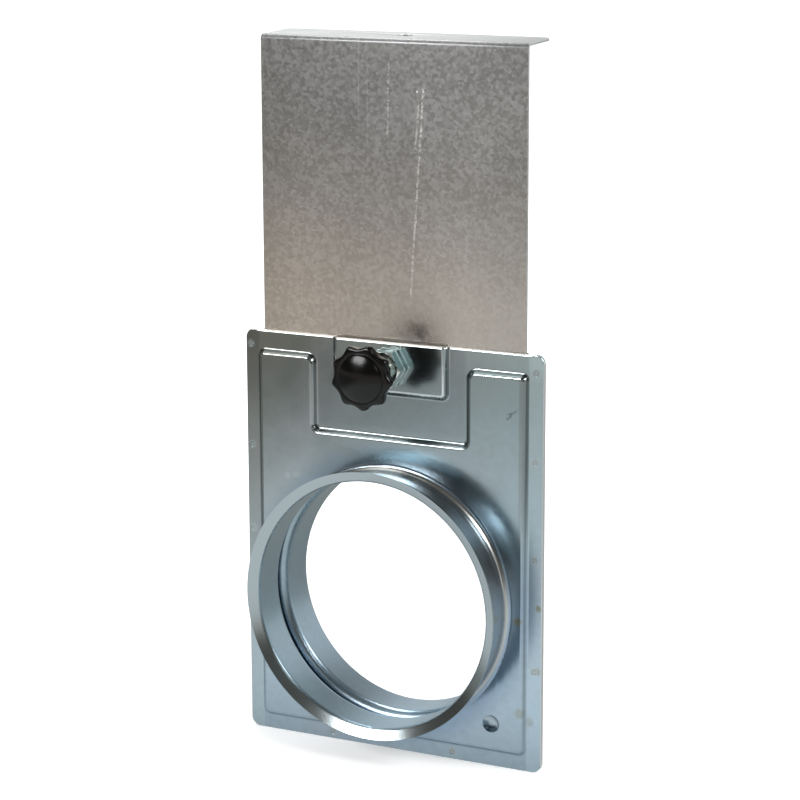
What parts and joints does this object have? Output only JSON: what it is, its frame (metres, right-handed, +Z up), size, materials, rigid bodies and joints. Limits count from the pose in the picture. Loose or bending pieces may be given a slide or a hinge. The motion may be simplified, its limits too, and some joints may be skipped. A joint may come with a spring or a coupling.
{
  "type": "blast gate",
  "caption": "Manual slide gate for lipped round duct: pressed two-shell housing, collar and lip on each side, sliding plate with bent handle, star-knob clamp screw.",
  "frame": {"origin": "where the duct's axis crosses the plane in which the two shells meet", "axes": "+Z up, the way the slide plate is pulled; the duct's axis along Y, with the clamp knob's side towards -Y; +X to the right seen from the front"},
  "size_m": [0.131, 0.0524, 0.2863],
  "materials": {
    "galvanised_shell": "semi-gloss galvanised pressed sheet steel",
    "galvanised_plate": "mottled galvanised sheet steel, lightly scratched",
    "zinc_fastener": "bright zinc plated steel",
    "black_plastic": "black moulded plastic",
    "weld_mark": "heat-dulled steel spot weld"
  },
  "bodies": {
    "housing": {"front_shell": "galvanised_shell", "rear_shell": "galvanised_shell", "weld_nut": "zinc_fastener", "spot_welds": "weld_mark"},
    "gate": {"slide_plate": "galvanised_plate"},
    "screw": {"clamp_stud": "zinc_fastener"},
    "knob": {"star_knob": "black_plastic"}
  },
  "joints": [
    {"name": "plate_slide", "type": "slide", "parent": "housing", "child": "gate", "axis": [0, 0, 1], "range_m": [-0.1156, 0]},
    {"name": "screw_advance", "type": "slide", "parent": "housing", "child": "screw", "axis": [0, -1, 0], "range_m": [0, 0.0026]},
    {"name": "knob_turn", "type": "hinge", "parent": "screw", "child": "knob", "pos_m": [0, -0.0265, 0.0928], "axis": [0, -1, 0], "range_deg": [0, 720]}
  ],
  "couplings": [
    {"joint": "screw_advance", "follows": "knob_turn", "m_per_rad": 0.00019894}
  ]
}
